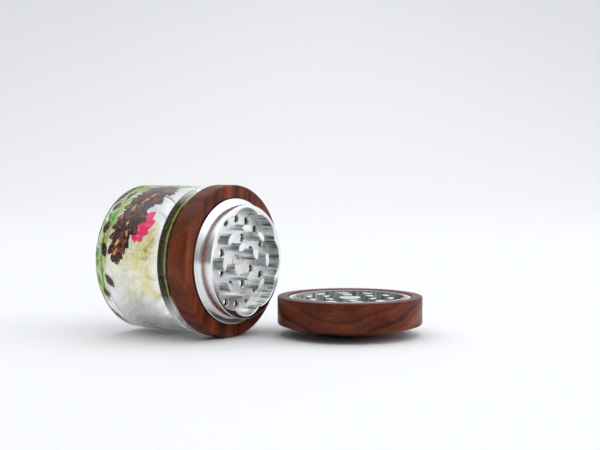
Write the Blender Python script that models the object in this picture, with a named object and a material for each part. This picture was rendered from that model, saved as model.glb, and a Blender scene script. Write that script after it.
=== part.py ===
"""Herb grinder on a glass jar: a walnut collar with a toothed aluminium plate, and a loose walnut lid.

The jar and its collar lie on their side, with the jar's axis along +X and the mouth towards +X.
The lid lies upside down on the floor beside the mouth, with its teeth up.
Units are metres, +Z is up, and the origin is at the bottom centre of the whole object's box.
"""

from math import atan2, cos, pi, radians, sin, tan

import bmesh
import bpy
from mathutils import Matrix, Vector

MM = 0.001
SEGMENTS = 48
GAP = 0.3 * MM  # between pieces that touch

# Collar: positions along the jar's axis are measured from the collar's front face, towards the mouth.
COLLAR_RADIUS = 38.0 * MM
COLLAR_LENGTH = 10.4 * MM
FLANGE_RADIUS = 31.3 * MM
FLANGE_TOP = 1.0 * MM
NECK_RADIUS = 28.3 * MM
NECK_TOP = 8.3 * MM
FLOOR_TOP = 1.5 * MM
TOOTH_TIP = 8.1 * MM
POCKET_LOBES = 8
POCKET_NARROW = 24.5 * MM
POCKET_WIDE = 26.8 * MM
SEAL_SEAT = -1.0 * MM
THREAD_BORE = 29.3 * MM
THREAD_RING_END = -9.9 * MM
THREAD_START = -8.5 * MM

# Jar
JAR_RADIUS = 37.3 * MM
JAR_BASE = -60.5 * MM
JAR_RIM = -3.2 * MM
JAR_NECK_RADIUS = 27.8 * MM
JAR_MOUTH_RADIUS = 25.0 * MM
JAR_WALL = 2.7 * MM
JAR_SHOULDER = -12.6 * MM
THREAD_PITCH = 4.0 * MM
THREAD_TURNS = 1.25

# Lid: heights are measured from the floor, with the lid upside down.
LID_RADIUS = 36.6 * MM
LID_HEIGHT = 19.9 * MM
LID_FLAT_RADIUS = 9.0 * MM
LID_DOME_RADIUS = 105.0 * MM
LID_FROM_FACE = 42.5 * MM
LID_FROM_AXIS = 40.5 * MM
CAVITY_RADIUS = 28.7 * MM
CAVITY_DEPTH = 11.4 * MM
INSERT_RADIUS = 31.0 * MM
INSERT_FLOOR = 1.3 * MM
LID_TOOTH_HEIGHT = 10.6 * MM
BOSS_RADIUS = 5.5 * MM
LID_MAGNET_RADIUS = 3.6 * MM
LID_MAGNET_HEIGHT = 3.0 * MM
PLATE_MAGNET_RADIUS = 3.0 * MM
PLATE_MAGNET_HEIGHT = 1.5 * MM

# Where the lid's rim stands when it is home on the collar, and how far it is drawn off before it swings away.
LID_HOME = FLANGE_TOP + GAP
LID_DRAW = 10.0 * MM

# Rings of teeth: (count, inner radius, outer radius, half length along the ring, angle of the first one)
PLATE_TEETH = (
    (4, 6.6 * MM, 9.9 * MM, 3.1 * MM, 25.0),
    (8, 15.6 * MM, 18.4 * MM, 3.4 * MM, 0.0),
)
LID_TEETH = (
    (6, 11.2 * MM, 14.2 * MM, 2.8 * MM, 10.0),
    (10, 19.3 * MM, 22.3 * MM, 3.0 * MM, 25.0),
)

# Rings of through holes in the plate: (count, ring radius, hole radius, angle of the first one)
PLATE_HOLES = (
    (8, 12.4 * MM, 1.8 * MM, 22.5),
    (16, 21.4 * MM, 1.9 * MM, 0.0),
)

# The whole object's box is centred on the origin.
FACE_X = -(JAR_BASE + LID_FROM_FACE + LID_RADIUS) / 2
AXIS_Y = -(LID_FROM_AXIS + LID_RADIUS - COLLAR_RADIUS) / 2
COLLAR_ORIGIN = Vector((FACE_X, AXIS_Y, COLLAR_RADIUS))
LID_ORIGIN = Vector((FACE_X + LID_FROM_FACE, AXIS_Y + LID_FROM_AXIS, 0.0))
ALONG_JAR = Matrix.Rotation(pi / 2, 4, "Y")


def clear_scene():
    for obj in list(bpy.data.objects):
        bpy.data.objects.remove(obj)


def material(name, color, roughness, metallic=0.0, transmission=0.0):
    made = bpy.data.materials.new(name)
    made.use_nodes = True
    shader = made.node_tree.nodes["Principled BSDF"]
    shader.inputs["Base Color"].default_value = (*color, 1.0)
    shader.inputs["Roughness"].default_value = roughness
    shader.inputs["Metallic"].default_value = metallic
    shader.inputs["Transmission Weight"].default_value = transmission
    return made


def polar(radius, degrees):
    angle = radians(degrees)
    return radius * cos(angle), radius * sin(angle)


def rounded(height, radius, bend, start, end, steps=3):
    """Profile points (height, radius) on an arc, with angle 0 towards larger radius and 90 towards larger height."""
    points = []
    for step in range(steps + 1):
        angle = radians(start + (end - start) * step / steps)
        points.append((height + bend * sin(angle), radius + bend * cos(angle)))
    return points


def object_from(name, bm, look, place):
    bmesh.ops.remove_doubles(bm, verts=bm.verts, dist=1e-7)
    bmesh.ops.recalc_face_normals(bm, faces=bm.faces)
    mesh = bpy.data.meshes.new(name)
    bm.to_mesh(mesh)
    bm.free()
    mesh.shade_smooth()
    mesh.set_sharp_from_angle(angle=radians(35))
    if look:
        mesh.materials.append(look)
    obj = bpy.data.objects.new(name, mesh)
    obj.matrix_world = place
    bpy.context.scene.collection.objects.link(obj)
    return obj


def turned_mesh(profile, closed):
    """A profile of (height, radius) points turned about Z. An open profile starts and ends on the axis."""
    bm = bmesh.new()
    count = len(profile)
    rings = []
    for segment in range(SEGMENTS):
        angle = 2 * pi * segment / SEGMENTS
        rings.append([bm.verts.new((r * cos(angle), r * sin(angle), h)) for h, r in profile])
    for segment in range(SEGMENTS):
        here = rings[segment]
        after = rings[(segment + 1) % SEGMENTS]
        for i in range(count if closed else count - 1):
            j = (i + 1) % count
            corners = [here[i], here[j], after[j], after[i]]
            if profile[i][1] == 0:
                corners.remove(after[i])
            if profile[j][1] == 0:
                corners.remove(after[j])
            if len(corners) > 2:
                bm.faces.new(corners)
    return bm


def turned(name, profile, look, place, closed=False):
    return object_from(name, turned_mesh(profile, closed), look, place)


def add_prism(bm, outline, low, high):
    """A straight prism on an outline of (x, y) points."""
    bottom = [bm.verts.new((x, y, low)) for x, y in outline]
    top = [bm.verts.new((x, y, high)) for x, y in outline]
    bm.faces.new(bottom[::-1])
    bm.faces.new(top)
    for i in range(len(outline)):
        j = (i + 1) % len(outline)
        bm.faces.new((bottom[i], bottom[j], top[j], top[i]))


def tooth_outline(inner, outer, half_length, degrees, steps=3):
    """A milled tooth seen from above: walls along two circles, drawn in to a blunt point at each end."""
    middle = (inner + outer) / 2
    half_angle = half_length / middle * 180 / pi
    sides = []
    for edge, order in ((outer, 1), (inner, -1)):
        for step in range(-steps, steps + 1):
            along = order * step / steps
            narrowing = max(0.0, abs(along) - 0.35) / 0.65
            radius = edge + (middle - edge) * 0.88 * narrowing ** 1.5
            sides.append(polar(radius, degrees + along * half_angle))
    return sides


def add_teeth(bm, rings, low, high):
    for count, inner, outer, half_length, first in rings:
        for index in range(count):
            outline = tooth_outline(inner, outer, half_length, first + 360.0 * index / count)
            add_prism(bm, outline, low, high)


def helper(name, bm, place):
    obj = object_from(name, bm, None, place)
    obj.hide_render = True
    obj.display_type = "WIRE"
    return obj


def boolean(obj, other, operation):
    modifier = obj.modifiers.new(operation.lower(), "BOOLEAN")
    modifier.operation = operation
    modifier.object = other
    modifier.solver = "EXACT"
    modifier.use_self = False


def thread_ridge(name, root, crest, low, half_root, half_crest, place):
    """A right-hand helical ridge between two radii, tapering out at both ends."""
    steps = round(THREAD_TURNS * SEGMENTS)
    taper = SEGMENTS / 8
    bm = bmesh.new()
    sections = []
    for step in range(steps + 1):
        angle = 2 * pi * (step + 0.5) / SEGMENTS
        height = low + THREAD_PITCH * step / SEGMENTS
        full = min(1.0, 0.15 + min(step, steps - step) / taper)
        top = root + (crest - root) * full
        section = ((root, -half_root), (top, -half_crest), (top, half_crest), (root, half_root))
        sections.append([bm.verts.new((r * cos(angle), r * sin(angle), height + dz)) for r, dz in section])
    for here, after in zip(sections, sections[1:]):
        for i in range(4):
            j = (i + 1) % 4
            bm.faces.new((here[i], here[j], after[j], after[i]))
    bm.faces.new(sections[0])
    bm.faces.new(sections[-1][::-1])
    return helper(name, bm, place)


def make_collar_ring(look, place):
    bore = FLANGE_RADIUS + GAP
    front_bend = 0.9 * MM
    back_bend = 0.6 * MM
    profile = [(-COLLAR_LENGTH, bore)]
    profile += rounded(back_bend - COLLAR_LENGTH, COLLAR_RADIUS - back_bend, back_bend, -90, 0)
    profile += rounded(-front_bend, COLLAR_RADIUS - front_bend, front_bend, 0, 90)
    profile += [(0.0, bore)]
    turned("collar_ring", profile, look, place, closed=True)


def pocket_outline(steps=10):
    """The pocket's scalloped wall: round lobes that meet in blunt points."""
    points = []
    for step in range(POCKET_LOBES * steps):
        degrees = 360.0 * step / (POCKET_LOBES * steps)
        swell = abs(cos(radians(degrees * POCKET_LOBES / 2))) ** 0.7
        points.append(polar(POCKET_NARROW + (POCKET_WIDE - POCKET_NARROW) * swell, degrees))
    return points


def round_outline(x, y, radius, sides):
    return [(x + dx, y + dy) for dx, dy in (polar(radius, 360 * side / sides) for side in range(sides))]


def make_grinder_plate(look, place):
    chamfer = 0.4 * MM
    profile = [
        (SEAL_SEAT, 0.0),
        (SEAL_SEAT, FLANGE_RADIUS),
        (FLANGE_TOP - chamfer, FLANGE_RADIUS),
        (FLANGE_TOP, FLANGE_RADIUS - chamfer),
        (FLANGE_TOP, NECK_RADIUS),
        (NECK_TOP - chamfer, NECK_RADIUS),
        (NECK_TOP, NECK_RADIUS - chamfer),
        (NECK_TOP, 0.0),
    ]
    plate = turned("grinder_plate", profile, look, place)

    pocket = bmesh.new()
    add_prism(pocket, pocket_outline(), FLOOR_TOP, NECK_TOP + MM)
    boolean(plate, helper("plate_pocket_shape", pocket, place), "DIFFERENCE")

    teeth = bmesh.new()
    add_teeth(teeth, PLATE_TEETH, FLOOR_TOP - 0.5 * MM, TOOTH_TIP)
    boolean(plate, helper("plate_teeth_shape", teeth, place), "UNION")

    holes = bmesh.new()
    for count, ring_radius, radius, first in PLATE_HOLES:
        for index in range(count):
            x, y = polar(ring_radius, first + 360.0 * index / count)
            add_prism(holes, round_outline(x, y, radius, 10), SEAL_SEAT - MM, FLOOR_TOP + MM)
    magnet_hole = round_outline(0.0, 0.0, PLATE_MAGNET_RADIUS + GAP, 24)
    add_prism(holes, magnet_hole, FLOOR_TOP - PLATE_MAGNET_HEIGHT - GAP, FLOOR_TOP + MM)
    boolean(plate, helper("plate_hole_shape", holes, place), "DIFFERENCE")


def make_thread_ring(look, place):
    chamfer = 0.4 * MM
    front = SEAL_SEAT - GAP
    profile = [
        (THREAD_RING_END, THREAD_BORE + chamfer),
        (THREAD_RING_END, FLANGE_RADIUS - chamfer),
        (THREAD_RING_END + chamfer, FLANGE_RADIUS),
        (front, FLANGE_RADIUS),
        (front, THREAD_BORE),
        (THREAD_RING_END + chamfer, THREAD_BORE),
    ]
    ring = turned("thread_ring", profile, look, place, closed=True)
    ridge = thread_ridge(
        "ring_thread_shape",
        root=THREAD_BORE + 0.3 * MM,
        crest=JAR_NECK_RADIUS + 0.6 * MM,
        low=THREAD_START,
        half_root=0.8 * MM,
        half_crest=0.35 * MM,
        place=place,
    )
    boolean(ring, ridge, "UNION")


def make_plate_magnet(look, place):
    low = FLOOR_TOP - PLATE_MAGNET_HEIGHT
    profile = [(low, 0.0), (low, PLATE_MAGNET_RADIUS), (FLOOR_TOP, PLATE_MAGNET_RADIUS), (FLOOR_TOP, 0.0)]
    turned("plate_magnet", profile, look, place)


def make_jar_seal(look, place):
    low = JAR_RIM + GAP
    high = SEAL_SEAT - GAP
    inner = JAR_MOUTH_RADIUS + 0.4 * MM
    outer = JAR_NECK_RADIUS + 0.1 * MM
    turned("jar_seal", [(low, inner), (low, outer), (high, outer), (high, inner)], look, place, closed=True)


def make_glass_jar(look, place):
    inside = JAR_RADIUS - JAR_WALL
    rim_bend = 0.7 * MM
    shoulder_bend = 4.0 * MM
    base_bend = 3.0 * MM
    inner_bend = 3.5 * MM
    punt_radius = 27.5 * MM
    punt_depth = 0.8 * MM
    floor = JAR_BASE + 4.0 * MM
    shoulder_inside = JAR_SHOULDER - JAR_WALL
    profile = [(JAR_BASE + punt_depth, 0.0), (JAR_BASE + punt_depth, punt_radius - MM), (JAR_BASE, punt_radius)]
    profile += rounded(JAR_BASE + base_bend, JAR_RADIUS - base_bend, base_bend, -90, 0)
    profile += rounded(JAR_SHOULDER - shoulder_bend, JAR_RADIUS - shoulder_bend, shoulder_bend, 0, 90, 4)
    profile += [(JAR_SHOULDER, JAR_NECK_RADIUS + 0.8 * MM), (JAR_SHOULDER + 0.8 * MM, JAR_NECK_RADIUS)]
    profile += rounded(JAR_RIM - rim_bend, JAR_NECK_RADIUS - rim_bend, rim_bend, 0, 90, 2)
    profile += rounded(JAR_RIM - rim_bend, JAR_MOUTH_RADIUS + rim_bend, rim_bend, 90, 180, 2)
    profile += [(shoulder_inside + MM, JAR_MOUTH_RADIUS), (shoulder_inside, JAR_MOUTH_RADIUS + MM)]
    profile += rounded(shoulder_inside - inner_bend, inside - inner_bend, inner_bend, 90, 0)
    profile += rounded(floor + inner_bend, inside - inner_bend, inner_bend, 0, -90)
    profile += [(floor, 0.0)]
    jar = turned("glass_jar", profile, look, place)
    ridge = thread_ridge(
        "jar_thread_shape",
        root=JAR_NECK_RADIUS - 0.3 * MM,
        crest=THREAD_BORE - 0.6 * MM,
        low=THREAD_START - THREAD_PITCH / 2,
        half_root=0.8 * MM,
        half_crest=0.35 * MM,
        place=place,
    )
    boolean(jar, ridge, "UNION")


def make_lid_cap(look, place):
    bore = INSERT_RADIUS + GAP
    rim_bend = 0.7 * MM
    pocket_floor = LID_HEIGHT - CAVITY_DEPTH - INSERT_FLOOR - GAP
    corner = 2.6 * MM
    dome_edge = LID_RADIUS - 0.6 * MM
    profile = [(0.0, 0.0)]
    for step in range(8):
        radius = LID_FLAT_RADIUS + (dome_edge - LID_FLAT_RADIUS) * step / 7
        profile.append(((radius**2 - LID_FLAT_RADIUS**2) / (2 * LID_DOME_RADIUS), radius))
    profile += [(profile[-1][0] + 0.8 * MM, LID_RADIUS)]
    profile += rounded(LID_HEIGHT - rim_bend, LID_RADIUS - rim_bend, rim_bend, 0, 90)
    profile += [
        (LID_HEIGHT, bore),
        (pocket_floor + corner, bore),
        (pocket_floor, bore - corner),
        (pocket_floor, 0.0),
    ]
    turned("lid_cap", profile, look, place)


def make_lid_insert(look, place):
    chamfer = 0.3 * MM
    low = LID_HEIGHT - CAVITY_DEPTH - INSERT_FLOOR
    floor = low + INSERT_FLOOR
    boss_top = floor + LID_TOOTH_HEIGHT
    pocket_radius = LID_MAGNET_RADIUS + GAP
    pocket_floor = boss_top - LID_MAGNET_HEIGHT - GAP
    corner = 2.6 * MM
    profile = [
        (low, 0.0),
        (low, INSERT_RADIUS - corner),
        (low + corner, INSERT_RADIUS),
        (LID_HEIGHT - chamfer, INSERT_RADIUS),
        (LID_HEIGHT, INSERT_RADIUS - chamfer),
        (LID_HEIGHT, CAVITY_RADIUS + chamfer),
        (LID_HEIGHT - chamfer, CAVITY_RADIUS),
        (floor, CAVITY_RADIUS),
        (floor, BOSS_RADIUS),
        (boss_top, BOSS_RADIUS),
        (boss_top, pocket_radius),
        (pocket_floor, pocket_radius),
        (pocket_floor, 0.0),
    ]
    insert = turned("lid_insert", profile, look, place)
    teeth = bmesh.new()
    add_teeth(teeth, LID_TEETH, floor - 0.5 * MM, boss_top)
    boolean(insert, helper("lid_teeth_shape", teeth, place), "UNION")


def make_lid_magnet(look, place):
    high = LID_HEIGHT - CAVITY_DEPTH + LID_TOOTH_HEIGHT
    low = high - LID_MAGNET_HEIGHT
    profile = [(low, 0.0), (low, LID_MAGNET_RADIUS), (high, LID_MAGNET_RADIUS), (high, 0.0)]
    turned("lid_magnet", profile, look, place)


def make_glide_ring(look, place):
    high = LID_HEIGHT - 0.15 * MM
    low = high - 0.8 * MM
    outer = CAVITY_RADIUS - GAP
    inner = outer - MM
    turned("glide_ring", [(low, inner), (low, outer), (high, outer), (high, inner)], look, place, closed=True)


def lid_swing():
    """The line about which the lid swings, and the angle, to bring it from the floor to the collar's axis."""
    start = LID_ORIGIN + Vector((0, 0, LID_HEIGHT))
    end = COLLAR_ORIGIN + Vector((LID_HOME + LID_DRAW, 0, 0))
    way = end - start
    axis = Vector((1.0, (way.z - way.x) / way.y, -1.0)).normalized()
    up = Vector((0, 0, 1)) - axis.z * axis
    back = Vector((-1, 0, 0)) + axis.x * axis
    angle = atan2(axis.dot(up.cross(back)), up.dot(back))
    pivot = (start + end) / 2 + axis.cross(way) / (2 * tan(angle / 2))
    return pivot, axis, angle


def add_axis(name, location, direction, children):
    """An empty on a joint's axis, its own Z along it, with the joint's pieces as its children."""
    empty = bpy.data.objects.new(name, None)
    empty.matrix_world = Matrix.Translation(location) @ direction.to_track_quat("Z", "Y").to_matrix().to_4x4()
    empty.empty_display_size = 0.02
    bpy.context.scene.collection.objects.link(empty)
    for child in children:
        kept = bpy.data.objects[child].matrix_world.copy()
        bpy.data.objects[child].parent = empty
        bpy.data.objects[child].matrix_parent_inverse = empty.matrix_world.inverted()
        bpy.data.objects[child].matrix_basis = kept
    return empty


def main():
    clear_scene()
    along = Matrix.Translation(COLLAR_ORIGIN) @ ALONG_JAR
    upright = Matrix.Translation(LID_ORIGIN)

    make_collar_ring(material("collar_walnut", (0.16, 0.05, 0.028), 0.45), along)
    make_grinder_plate(material("plate_aluminium", (0.86, 0.87, 0.88), 0.25, metallic=1.0), along)
    make_thread_ring(material("thread_ring_aluminium", (0.78, 0.79, 0.8), 0.35, metallic=1.0), along)
    make_plate_magnet(material("plate_magnet_nickel", (0.7, 0.69, 0.66), 0.2, metallic=1.0), along)
    make_jar_seal(material("seal_silicone", (0.75, 0.76, 0.74), 0.5), along)
    make_glass_jar(material("jar_glass", (0.95, 0.97, 0.95), 0.03, transmission=1.0), along)
    make_lid_cap(material("lid_walnut", (0.13, 0.042, 0.022), 0.45), upright)
    make_lid_insert(material("insert_aluminium", (0.86, 0.87, 0.88), 0.25, metallic=1.0), upright)
    make_lid_magnet(material("lid_magnet_nickel", (0.7, 0.69, 0.66), 0.2, metallic=1.0), upright)
    make_glide_ring(material("glide_nylon", (0.52, 0.53, 0.53), 0.4), upright)

    add_axis("jar_axis", COLLAR_ORIGIN, Vector((-1, 0, 0)), ("jar_seal", "glass_jar"))
    pivot, axis, _ = lid_swing()
    add_axis("lid_swing_axis", pivot, axis, ("glide_ring", "lid_magnet", "lid_insert", "lid_cap"))


main()
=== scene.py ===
import random
from math import cos, pi, radians, sin

import bmesh
import bpy
from mathutils import Matrix, Vector, noise


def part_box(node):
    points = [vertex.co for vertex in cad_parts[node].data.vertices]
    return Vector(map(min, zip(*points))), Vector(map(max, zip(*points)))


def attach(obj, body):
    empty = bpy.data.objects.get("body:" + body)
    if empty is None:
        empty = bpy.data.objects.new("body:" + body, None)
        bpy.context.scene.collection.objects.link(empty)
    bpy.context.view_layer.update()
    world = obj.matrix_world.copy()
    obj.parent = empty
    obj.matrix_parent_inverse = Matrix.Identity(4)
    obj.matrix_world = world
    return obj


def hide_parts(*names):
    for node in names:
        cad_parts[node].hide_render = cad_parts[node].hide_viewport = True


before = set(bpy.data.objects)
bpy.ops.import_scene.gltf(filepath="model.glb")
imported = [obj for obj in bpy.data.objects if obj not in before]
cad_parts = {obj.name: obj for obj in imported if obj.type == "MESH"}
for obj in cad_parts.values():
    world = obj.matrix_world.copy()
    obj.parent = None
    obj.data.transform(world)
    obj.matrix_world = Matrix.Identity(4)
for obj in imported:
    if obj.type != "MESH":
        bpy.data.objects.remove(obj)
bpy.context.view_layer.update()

MM = 0.001
IN_MM = (1000, 1000, 1000)  # a mapping's scale, for patterns measured in millimetres
FINE = 160  # segments round the big turned pieces
SMALL = 64  # and round the magnets
SHARP = 32  # edges that bend more than this many degrees stay crisp
WELD = 2e-7  # vertices closer than this become one

# ---- places and sizes: the outer ones come from the frame

RING_LOW, RING_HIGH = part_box("collar_ring")
JAR_LOW, JAR_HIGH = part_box("glass_jar")
PLATE_LOW, PLATE_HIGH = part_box("grinder_plate")
THREAD_LOW, THREAD_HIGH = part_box("thread_ring")
SEAL_LOW, SEAL_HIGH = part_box("jar_seal")
MAGNET_LOW, MAGNET_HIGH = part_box("plate_magnet")
CAP_LOW, CAP_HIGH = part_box("lid_cap")
LID_MAGNET_LOW, LID_MAGNET_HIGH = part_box("lid_magnet")
INSERT_LOW, INSERT_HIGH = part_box("lid_insert")
GLIDE_LOW, GLIDE_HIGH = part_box("glide_ring")

RING_MIDDLE = (RING_LOW + RING_HIGH) / 2
FACE = RING_HIGH.x
COLLAR_CENTRE = Vector((FACE, RING_MIDDLE.y, RING_MIDDLE.z))
LID_CENTRE = Vector(((CAP_LOW.x + CAP_HIGH.x) / 2, (CAP_LOW.y + CAP_HIGH.y) / 2, 0.0))
ALONG_JAR = Matrix.Translation(COLLAR_CENTRE) @ Matrix.Rotation(pi / 2, 4, "Y")
UPRIGHT = Matrix.Translation(LID_CENTRE)


def half_width(low, high, axis):
    return (high[axis] - low[axis]) / 2


# Collar and plate: heights run along the jar's axis from the collar's front face, towards the mouth.
COLLAR_RADIUS = half_width(RING_LOW, RING_HIGH, 2)
COLLAR_BACK = RING_LOW.x - FACE
FLANGE_RADIUS = half_width(PLATE_LOW, PLATE_HIGH, 2)
SEAL_SEAT = PLATE_LOW.x - FACE
NECK_TOP = PLATE_HIGH.x - FACE
TOOTH_TIP = NECK_TOP - 0.2 * MM
FLOOR_TOP = MAGNET_HIGH.x - FACE
FLOOR_CHAMFER = 0.22 * MM  # round the drop holes and the pocket's rim
FLANGE_TOP = 1.0 * MM
NECK_RADIUS = 28.3 * MM
POCKET_LOBES = 8
POCKET_NARROW = 24.5 * MM
POCKET_WIDE = 26.8 * MM
THREAD_RING_END = THREAD_LOW.x - FACE
THREAD_RING_FRONT = THREAD_HIGH.x - FACE
THREAD_BORE = 29.3 * MM
THREAD_START = -8.5 * MM
THREAD_PITCH = 4.0 * MM
THREAD_TURNS = 1.25
THREAD_CLEARANCE = 0.6 * MM
THREAD_SINK = 0.3 * MM  # how far a ridge's root reaches into its wall
PLATE_MAGNET_RADIUS = half_width(MAGNET_LOW, MAGNET_HIGH, 2)
PLATE_MAGNET_SEAT = MAGNET_LOW.x - FACE
MAGNET_PLAY = 0.1 * MM  # under a magnet
MAGNET_GAP = 0.15 * MM
MAGNET_EDGE = 0.2 * MM
PRESS_GAP = 0.3 * MM  # between the walnut and the aluminium pressed into it

# Jar
JAR_RADIUS = half_width(JAR_LOW, JAR_HIGH, 2)
JAR_BASE = JAR_LOW.x - FACE
JAR_RIM = JAR_HIGH.x - FACE
JAR_NECK_RADIUS = 27.8 * MM
JAR_MOUTH_RADIUS = 25.0 * MM
JAR_SHOULDER = -12.6 * MM
JAR_WALL = 2.7 * MM
JAR_SHOULDER_BEND = 4.0 * MM
JAR_BASE_BEND = 3.0 * MM
SHOULDER_CENTRE = (JAR_SHOULDER - JAR_SHOULDER_BEND, JAR_RADIUS - JAR_SHOULDER_BEND)  # height and radius

# Lid: heights run up from the floor.
LID_RADIUS = half_width(CAP_LOW, CAP_HIGH, 0)
LID_HEIGHT = CAP_HIGH.z
LID_DOME_RADIUS = 105.0 * MM
LID_FLAT_RADIUS = 9.0 * MM
INSERT_RADIUS = half_width(INSERT_LOW, INSERT_HIGH, 0)
INSERT_BOTTOM = INSERT_LOW.z
INSERT_THICKNESS = 1.3 * MM
INSERT_CORNER = 2.6 * MM
CAVITY_FLOOR = INSERT_BOTTOM + INSERT_THICKNESS
CAVITY_RADIUS = 28.7 * MM
LID_TOOTH_TIP = LID_MAGNET_HIGH.z
BOSS_RADIUS = 5.5 * MM
LID_MAGNET_RADIUS = half_width(LID_MAGNET_LOW, LID_MAGNET_HIGH, 0)

# Rings of teeth: (count, inner radius, outer radius, half length along the ring, angle of the first one)
PLATE_TEETH = (
    (4, 6.6 * MM, 9.9 * MM, 3.1 * MM, 25.0),
    (8, 15.6 * MM, 18.4 * MM, 3.4 * MM, 0.0),
)
LID_TEETH = (
    (6, 11.2 * MM, 14.2 * MM, 2.8 * MM, 10.0),
    (10, 19.3 * MM, 22.3 * MM, 3.0 * MM, 25.0),
)

# Rings of through holes in the plate: (count, ring radius, hole radius, angle of the first one)
PLATE_HOLES = (
    (8, 12.4 * MM, 2.1 * MM, 22.5),
    (16, 21.4 * MM, 2.0 * MM, 0.0),
)

# ---- node helpers


class Graph:
    """A material's node tree, with short calls for the nodes used here."""

    def __init__(self, name):
        self.material = bpy.data.materials.new(name)
        self.material.use_nodes = True
        self.tree = self.material.node_tree
        self.shader = self.tree.nodes["Principled BSDF"]
        self.point = self.tree.nodes.new("ShaderNodeTexCoord").outputs["Object"]

    def link(self, source, target):
        self.tree.links.new(source, target)

    def place(self, value, socket):
        if isinstance(value, bpy.types.NodeSocket):
            self.link(value, socket)
        else:
            socket.default_value = value

    def set(self, **values):
        """Constants and links on the main shader, by the socket's name with _ for a space."""
        self.fill(self.shader, values)

    def fill(self, node, values):
        for name, value in values.items():
            self.place(value, node.inputs[name.replace("_", " ")])

    def node(self, kind, **values):
        node = self.tree.nodes.new("ShaderNode" + kind)
        self.fill(node, values)
        return node

    def math(self, operation, a, b=0.0, c=0.0, clamp=False):
        node = self.node("Math")
        node.operation = operation
        node.use_clamp = clamp
        for value, socket in zip((a, b, c), node.inputs):
            self.place(value, socket)
        return node.outputs[0]

    def vector(self, operation, a, b=(0.0, 0.0, 0.0)):
        node = self.node("VectorMath")
        node.operation = operation
        self.place(a, node.inputs[0])
        self.place(b, node.inputs[1])
        return node.outputs["Value"] if operation == "LENGTH" else node.outputs["Vector"]

    def mapped(self, location=(0, 0, 0), rotation=(0, 0, 0), scale=(1, 1, 1), source=None):
        values = dict(Location=location, Rotation=rotation, Scale=scale)
        return self.node("Mapping", Vector=source or self.point, **values).outputs[0]

    def split(self, source):
        return self.node("SeparateXYZ", Vector=source).outputs

    def noise(self, source, scale, detail=3.0, roughness=0.5, distortion=0.0, color=False):
        values = dict(Scale=scale, Detail=detail, Roughness=roughness, Distortion=distortion)
        return self.node("TexNoise", Vector=source, **values).outputs["Color" if color else "Fac"]

    def line_noise(self, position, scale, detail):
        node = self.node("TexNoise", Scale=scale, Detail=detail)
        node.noise_dimensions = "1D"
        self.link(position, node.inputs["W"])
        return node.outputs["Fac"]

    def ramp(self, source, stops):
        node = self.node("ValToRGB", Fac=source)
        elements = node.color_ramp.elements
        while len(elements) < len(stops):
            elements.new(0.5)
        for element, (position, color) in zip(elements, stops):
            element.position = position
            element.color = (*color, 1.0)
        return node.outputs[0]

    def remap(self, source, low, high, to_low=0.0, to_high=1.0):
        values = dict(From_Min=low, From_Max=high, To_Min=to_low, To_Max=to_high)
        return self.node("MapRange", Value=source, **values).outputs["Result"]

    def mix(self, factor, a, b):
        node = self.node("Mix")
        node.data_type = "RGBA"
        self.place(factor, node.inputs["Factor"])
        for value, socket in ((a, node.inputs["A"]), (b, node.inputs["B"])):
            self.place((*value, 1.0) if isinstance(value, tuple) else value, socket)
        return node.outputs["Result"]

    def bump(self, height, strength, distance):
        return self.node("Bump", Height=height, Strength=strength, Distance=distance).outputs["Normal"]


# ---- materials


def shaded(color, shade):
    return tuple(shade * channel for channel in color)


def walnut(name, heart, tilt, shade):
    """Oiled walnut: soft growth rings round a far heart line, streaks and open pores along the grain.

    heart, in mm, and tilt, in degrees, map the heart line onto Z, which runs along the grain.
    """
    g = Graph(name)
    wood = g.mapped(location=heart, rotation=[radians(turn) for turn in tilt], scale=IN_MM)
    sway = g.noise(g.mapped(scale=(0.03, 0.03, 0.01), source=wood), 1.0, detail=2.0, color=True)
    sway = g.vector("MULTIPLY", g.vector("SUBTRACT", sway, (0.5, 0.5, 0.5)), (14.0, 14.0, 0.0))
    bent = g.vector("ADD", wood, sway)
    depth = g.vector("LENGTH", g.vector("MULTIPLY", bent, (1.0, 1.0, 0.0)))
    rings = g.line_noise(depth, 0.16, detail=2.0)
    fine_rings = g.line_noise(depth, 0.9, detail=2.0)
    streaks = g.noise(g.mapped(scale=(1.5, 1.5, 0.10), source=bent), 1.0, detail=4.0, roughness=0.6)
    pores = g.noise(g.mapped(scale=(3.4, 3.4, 0.5), source=bent), 1.0, detail=2.0)
    cloud = g.noise(g.mapped(scale=(0.07, 0.07, 0.05), source=wood), 1.0)
    tone = g.math("MULTIPLY_ADD", rings, 0.40, g.math("MULTIPLY", fine_rings, 0.16))
    tone = g.math("MULTIPLY_ADD", streaks, 0.36, tone)
    tone = g.math("MULTIPLY_ADD", cloud, 0.38, tone)
    browns = (
        (0.46, (0.018, 0.0030, 0.0010)),
        (0.58, (0.088, 0.0165, 0.0050)),
        (0.70, (0.180, 0.0365, 0.0110)),
        (0.84, (0.290, 0.0700, 0.0230)),
    )
    color = g.ramp(tone, [(position, shaded(brown, shade)) for position, brown in browns])
    pits = g.remap(pores, 0.60, 0.72)
    color = g.mix(g.math("MULTIPLY", pits, 0.45, clamp=True), color, (0.022, 0.006, 0.003))
    g.set(Base_Color=color, Roughness=g.remap(streaks, 0.3, 0.7, 0.34, 0.46))
    g.set(Specular_IOR_Level=0.10, Coat_Weight=0.12, Coat_Roughness=0.18, Coat_IOR=1.45)
    relief = g.math("MULTIPLY_ADD", pits, -0.8, g.math("MULTIPLY", streaks, 0.35))
    g.set(Normal=g.bump(relief, 0.4, 0.1 * MM))
    return g.material


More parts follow.
